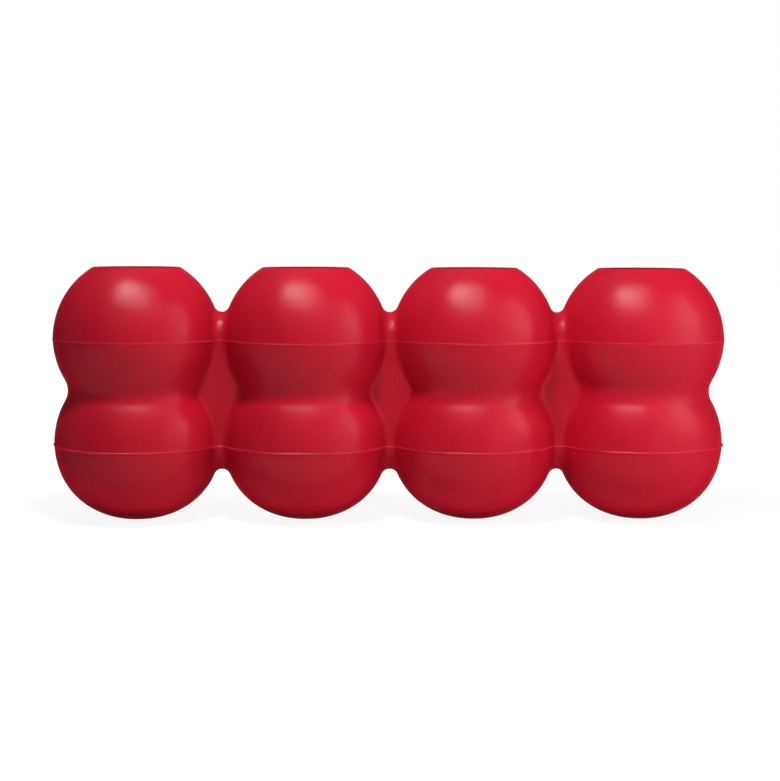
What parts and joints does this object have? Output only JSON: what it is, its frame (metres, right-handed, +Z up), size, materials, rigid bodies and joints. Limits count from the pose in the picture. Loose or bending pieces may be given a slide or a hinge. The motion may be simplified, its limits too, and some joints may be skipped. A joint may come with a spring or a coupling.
{
  "type": "dog chew toy",
  "caption": "Red rubber treat-stuffing chew toy: a row of hollow two-lobed columns with flat-cut open mouths, joined side by side by thick flexible webs.",
  "frame": {"origin": "on the ground, under the middle of the row of columns, with the toy standing on its feet and its mouths up", "axes": "+X along the row of columns, +Y through the toy's thickness, away from the pictured side, +Z up along the columns to their mouths"},
  "size_m": [0.1702, 0.042, 0.0639],
  "materials": {
    "rubber": "satin red natural rubber, moulded, with fine parting lines"
  },
  "bodies": {
    "column_1": {"treat_column_1": "rubber"},
    "web_1": {"flex_web_1": "rubber"},
    "column_2": {"treat_column_2": "rubber"},
    "web_2": {"flex_web_2": "rubber"},
    "column_3": {"treat_column_3": "rubber"},
    "web_3": {"flex_web_3": "rubber"},
    "column_4": {"treat_column_4": "rubber"}
  },
  "joints": [
    {"name": "bend_1", "type": "hinge", "parent": "column_1", "child": "web_1", "pos_m": [-0.0427, 0, 0.03288], "axis": [0, 0, 1], "range_deg": [-14, 14], "stiffness_Nm_per_rad": 5.9, "deforming": ["flex_web_1"]},
    {"name": "twist_1", "type": "hinge", "parent": "web_1", "child": "column_2", "pos_m": [-0.0427, 0, 0.03288], "axis": [1, 0, 0], "range_deg": [-12, 12], "stiffness_Nm_per_rad": 6.1, "deforming": ["flex_web_1"]},
    {"name": "bend_2", "type": "hinge", "parent": "column_2", "child": "web_2", "pos_m": [0, 0, 0.03288], "axis": [0, 0, 1], "range_deg": [-14, 14], "stiffness_Nm_per_rad": 5.9, "deforming": ["flex_web_2"]},
    {"name": "twist_2", "type": "hinge", "parent": "web_2", "child": "column_3", "pos_m": [0, 0, 0.03288], "axis": [1, 0, 0], "range_deg": [-12, 12], "stiffness_Nm_per_rad": 6.1, "deforming": ["flex_web_2"]},
    {"name": "bend_3", "type": "hinge", "parent": "column_3", "child": "web_3", "pos_m": [0.0427, 0, 0.03288], "axis": [0, 0, 1], "range_deg": [-14, 14], "stiffness_Nm_per_rad": 5.9, "deforming": ["flex_web_3"]},
    {"name": "twist_3", "type": "hinge", "parent": "web_3", "child": "column_4", "pos_m": [0.0427, 0, 0.03288], "axis": [1, 0, 0], "range_deg": [-12, 12], "stiffness_Nm_per_rad": 6.1, "deforming": ["flex_web_3"]}
  ]
}
